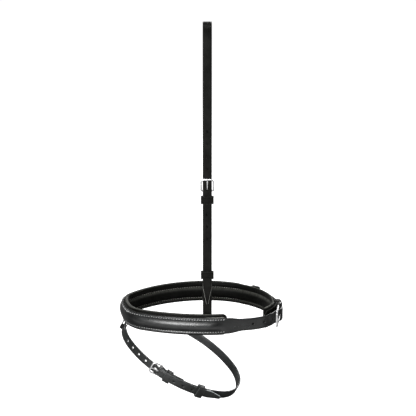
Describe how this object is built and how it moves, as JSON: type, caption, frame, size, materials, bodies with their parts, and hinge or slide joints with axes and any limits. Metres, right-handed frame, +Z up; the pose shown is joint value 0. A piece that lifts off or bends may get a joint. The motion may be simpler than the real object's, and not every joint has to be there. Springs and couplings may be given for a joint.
{
  "type": "flash noseband",
  "caption": "Flash noseband: padded leather nose band on a buckled headpiece strap, with a thin flash strap that buckles below it.",
  "frame": {"origin": "under the middle of the headpiece strap, on the flat underside that lies on the poll", "axes": "+Z up the headpiece, +X from the nose to the chin, -Y towards the near side with the cheek buckle"},
  "size_m": [0.2429, 0.1706, 0.5505],
  "materials": {
    "bridle_leather": "smooth black bridle leather, half gloss",
    "flash_leather": "smooth charcoal leather, satin",
    "soft_leather": "soft matt padding leather",
    "felt": "matt felt",
    "steel": "polished stainless steel"
  },
  "bodies": {
    "headpiece": {"headpiece_strap": "bridle_leather", "cheek_strap": "bridle_leather", "head_keeper": "bridle_leather"},
    "head_runner": {"head_runner": "bridle_leather"},
    "head_frame": {"head_buckle_frame": "steel"},
    "head_tongue": {"head_buckle_tongue": "steel"},
    "nose_band": {"nose_lining": "soft_leather", "nose_backing": "bridle_leather", "nose_filler": "felt", "nose_facing": "bridle_leather", "chin_chape": "bridle_leather", "chin_keeper": "bridle_leather"},
    "chin_runner": {"chin_runner": "bridle_leather"},
    "chin_frame": {"chin_buckle_frame": "steel"},
    "chin_tongue": {"chin_buckle_tongue": "steel"},
    "flash_loop": {"flash_loop": "bridle_leather"},
    "flash": {"flash_strap": "flash_leather", "flash_keeper": "flash_leather"},
    "flash_runner": {"flash_runner": "flash_leather"},
    "flash_frame": {"flash_buckle_frame": "steel"},
    "flash_tongue": {"flash_buckle_tongue": "steel"}
  },
  "joints": [
    {"name": "head_runner_slide", "type": "slide", "parent": "headpiece", "child": "head_runner", "axis": [0, 0.1319, 0.9913], "range_m": [-0.005, 0.065]},
    {"name": "head_frame_swing", "type": "hinge", "parent": "headpiece", "child": "head_frame", "pos_m": [0, -0.04414, -0.23129], "axis": [1, 0, 0], "range_deg": [0, 2.5]},
    {"name": "head_tongue_lift", "type": "hinge", "parent": "head_frame", "child": "head_tongue", "pos_m": [0, -0.04414, -0.23129], "axis": [1, 0, 0], "range_deg": [0, 2]},
    {"name": "nose_band_pitch", "type": "hinge", "parent": "headpiece", "child": "nose_band", "pos_m": [0, 0, -0.423], "axis": [0, 1, 0], "range_deg": [-10, 10]},
    {"name": "chin_runner_slide", "type": "hinge", "parent": "nose_band", "child": "chin_runner", "pos_m": [0, -0.03188, -0.423], "axis": [0, 0, 1], "range_deg": [-2, 5]},
    {"name": "chin_frame_swing", "type": "hinge", "parent": "nose_band", "child": "chin_frame", "pos_m": [0.10454, -0.0249, -0.4236], "axis": [0, 0, 1], "range_deg": [-3, 2]},
    {"name": "chin_tongue_lift", "type": "hinge", "parent": "chin_frame", "child": "chin_tongue", "pos_m": [0.10454, -0.0249, -0.4236], "axis": [0, 0, 1], "range_deg": [0, 1.5]},
    {"name": "flash_loop_pitch", "type": "hinge", "parent": "nose_band", "child": "flash_loop", "pos_m": [-0.1262, 0, -0.4393], "axis": [0, 1, 0], "range_deg": [-4, 4]},
    {"name": "flash_pitch", "type": "hinge", "parent": "flash_loop", "child": "flash", "pos_m": [-0.1228, 0.0027, -0.4492], "axis": [0.2058, 0.9728, 0.1066], "range_deg": [-8, 8]},
    {"name": "flash_runner_slide", "type": "hinge", "parent": "flash", "child": "flash_runner", "pos_m": [-0.02946, 0.03447, -0.49043], "axis": [0.4502, -0.1908, 0.8723], "range_deg": [-9, 2]},
    {"name": "flash_frame_swing", "type": "hinge", "parent": "flash", "child": "flash_frame", "pos_m": [-0.06827, -0.07406, -0.49414], "axis": [0.4502, -0.1908, 0.8723], "range_deg": [0, 3]},
    {"name": "flash_tongue_lift", "type": "hinge", "parent": "flash_frame", "child": "flash_tongue", "pos_m": [-0.06827, -0.07406, -0.49414], "axis": [0.4502, -0.1908, 0.8723], "range_deg": [0, 2]}
  ]
}
